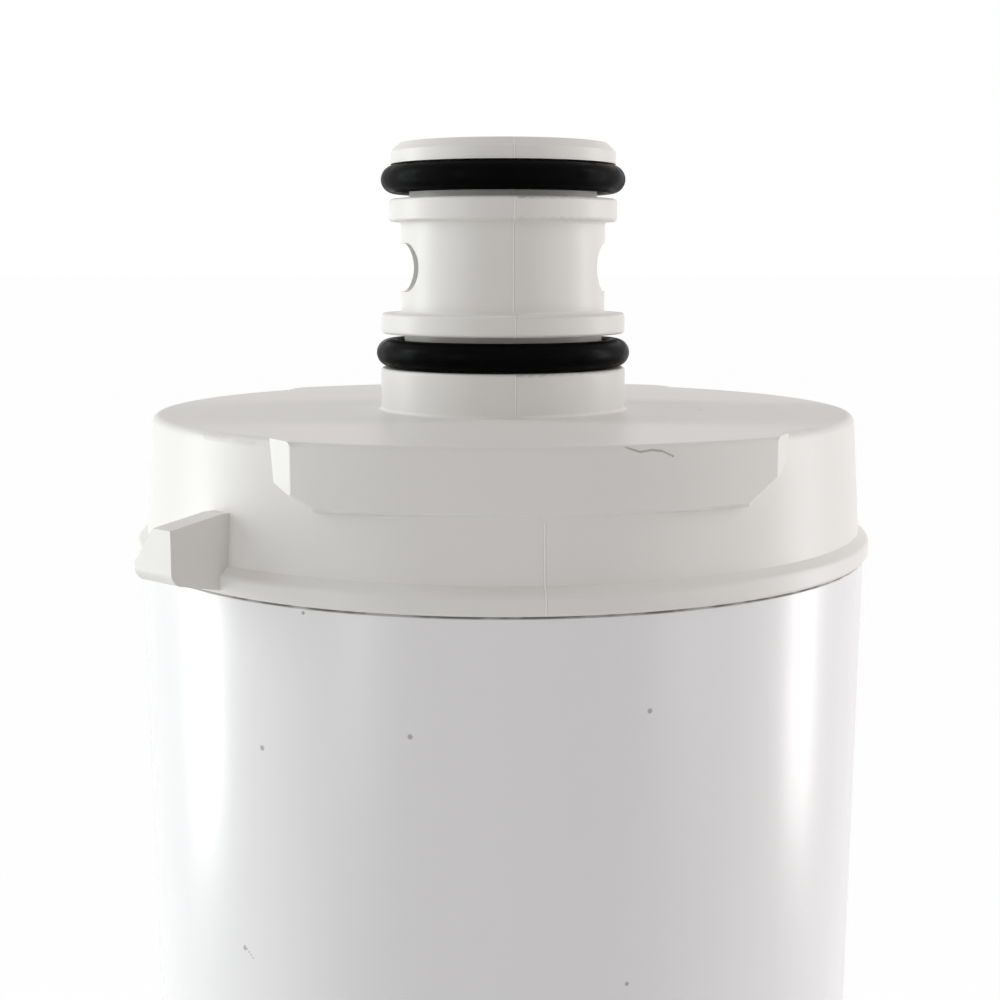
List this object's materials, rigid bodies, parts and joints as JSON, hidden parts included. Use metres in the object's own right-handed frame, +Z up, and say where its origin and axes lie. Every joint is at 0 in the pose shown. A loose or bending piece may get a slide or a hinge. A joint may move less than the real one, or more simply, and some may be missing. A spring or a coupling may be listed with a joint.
{
  "type": "reverse osmosis membrane cartridge",
  "caption": "Sealed white quick-change water filter cartridge with a tapered sump, a lugged head cap and a ported spigot with black O-rings, holding a spiral-wound membrane.",
  "frame": {"origin": "centre of the base, on the plane of the foot ring the cartridge stands on", "axes": "+Z up along the cartridge to the spigot; -Y is the side with the front pad of the head cap; the spigot's side windows open along X"},
  "size_m": [0.0798, 0.0798, 0.28],
  "materials": {
    "sump_plastic": "cool white moulded polypropylene, glossy",
    "cap_plastic": "warm white moulded polypropylene, glossy",
    "seal_rubber": "black nitrile rubber, greased",
    "inner_plastic": "natural white moulded plastic",
    "tube_plastic": "drilled extruded plastic tube",
    "membrane": "wound membrane sheet and spacer net",
    "wrap_tape": "wound clear-white adhesive film",
    "end_cap_plastic": "dark grey moulded plastic"
  },
  "bodies": {
    "root": {"sump": "sump_plastic", "head_cap": "cap_plastic", "upper_spigot_o_ring": "seal_rubber", "lower_spigot_o_ring": "seal_rubber", "flow_divider": "inner_plastic", "divider_o_ring": "seal_rubber", "permeate_tube": "tube_plastic", "permeate_stem": "inner_plastic", "stem_o_rings": "seal_rubber", "tube_plug": "inner_plastic", "plug_o_ring": "seal_rubber", "membrane_roll": "membrane", "outer_wrap": "wrap_tape", "top_end_cap": "end_cap_plastic", "bottom_end_cap": "end_cap_plastic", "brine_seal": "seal_rubber"}
  },
  "joints": []
}
